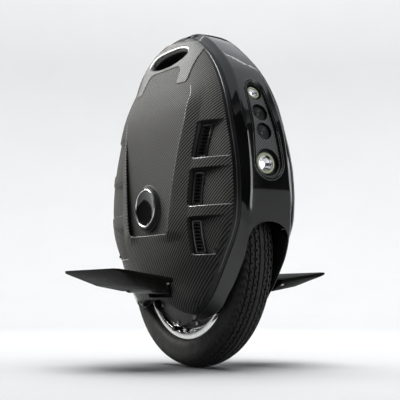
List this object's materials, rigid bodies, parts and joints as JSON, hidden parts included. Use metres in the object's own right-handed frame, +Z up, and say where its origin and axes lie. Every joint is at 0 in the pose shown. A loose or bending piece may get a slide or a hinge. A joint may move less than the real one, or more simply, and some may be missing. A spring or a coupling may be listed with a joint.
{
  "type": "electric unicycle",
  "caption": "Self-balancing electric unicycle with a fat road tyre on a hub motor, egg-shaped body with vented side covers, carry handle, front light cluster and fold-up pedals",
  "frame": {"origin": "on the ground under the middle of the axle", "axes": "+X forward (front lamps), +Y to the rider's left along the axle, +Z up"},
  "size_m": [0.4826, 0.48, 0.66],
  "materials": {
    "dark_plastic": "satin moulded plastic",
    "gloss_black": "polished gloss",
    "textured_cover": "diagonal woven texture under satin lacquer",
    "black_rubber": "matte",
    "bright_metal": "polished",
    "reflector": "polished reflector",
    "clear_lens": "clear",
    "red_lens": "gloss",
    "led_chip": "gloss",
    "steel": "machined",
    "cast_alloy": "cast and machined",
    "copper_winding": "enamelled wire",
    "circuit_board": "solder mask",
    "battery_wrap": "shrink wrap",
    "tyre": "rubber tread",
    "pedal_alloy": "black coated alloy",
    "grip_pad": "coarse grit"
  },
  "bodies": {
    "chassis": {"centre_frame": "dark_plastic", "front_fascia": "gloss_black", "rear_fascia": "gloss_black", "top_bridge": "gloss_black", "handle_grip": "black_rubber", "side_cover_right": "textured_cover", "side_cover_left": "textured_cover", "handle_panel_right": "dark_plastic", "handle_panel_left": "dark_plastic", "vent_grilles_right": "dark_plastic", "vent_grilles_left": "dark_plastic", "side_bosses": "dark_plastic", "boss_rings": "bright_metal", "boss_caps": "dark_plastic", "lamp_panel": "textured_cover", "lamp_bezel": "gloss_black", "upper_lamp_reflector": "reflector", "upper_lamp_lens": "clear_lens", "lower_lamp_reflector": "reflector", "lower_lamp_lens": "clear_lens", "lamp_leds": "led_chip", "front_speakers": "dark_plastic", "tail_lamp_housing": "dark_plastic", "tail_lamp_lens": "red_lens", "charge_socket": "steel", "cover_screws": "steel", "axle": "steel", "axle_nuts": "steel", "stator_spider": "cast_alloy", "stator_core": "steel", "stator_windings": "copper_winding", "pedal_hanger_right": "cast_alloy", "pedal_hanger_left": "cast_alloy", "hanger_bolts": "steel", "battery_pack_right": "battery_wrap", "battery_pack_left": "battery_wrap", "control_board": "circuit_board", "heat_sink": "cast_alloy", "cooling_fan": "dark_plastic"},
    "wheel": {"tyre": "tyre", "inner_tube": "black_rubber", "rim": "cast_alloy", "motor_cover_right": "cast_alloy", "motor_cover_left": "cast_alloy", "motor_magnets": "steel", "wheel_bearings": "steel", "motor_cover_screws": "steel", "valve_stem": "black_rubber", "valve_cap": "dark_plastic"},
    "right_pedal": {"pedal_right": "pedal_alloy", "pedal_grip_right": "grip_pad", "pedal_pin_right": "steel"},
    "left_pedal": {"pedal_left": "pedal_alloy", "pedal_grip_left": "grip_pad", "pedal_pin_left": "steel"},
    "power_button": {"power_button": "steel"},
    "lift_button": {"lift_button": "dark_plastic"},
    "charge_cap": {"charge_cap": "black_rubber"}
  },
  "joints": [
    {"name": "wheel_spin", "type": "hinge", "parent": "chassis", "child": "wheel", "pos_m": [0, 0, 0.215], "axis": [0, 1, 0], "continuous": true},
    {"name": "right_pedal_fold", "type": "hinge", "parent": "chassis", "child": "right_pedal", "pos_m": [0, -0.122, 0.155], "axis": [-1, 0, 0], "range_deg": [0, 72]},
    {"name": "left_pedal_fold", "type": "hinge", "parent": "chassis", "child": "left_pedal", "pos_m": [0, 0.122, 0.155], "axis": [1, 0, 0], "range_deg": [0, 72]},
    {"name": "power_button_press", "type": "slide", "parent": "chassis", "child": "power_button", "axis": [0.8265, 0, -0.563], "range_m": [0, 0.0025], "stiffness_N_per_m": 600},
    {"name": "lift_button_press", "type": "slide", "parent": "chassis", "child": "lift_button", "axis": [0, 0, 1], "range_m": [0, 0.002], "stiffness_N_per_m": 600},
    {"name": "charge_cap_flip", "type": "hinge", "parent": "chassis", "child": "charge_cap", "pos_m": [-0.18764, 0, 0.53625], "axis": [0, 1, 0], "range_deg": [0, 110]}
  ]
}
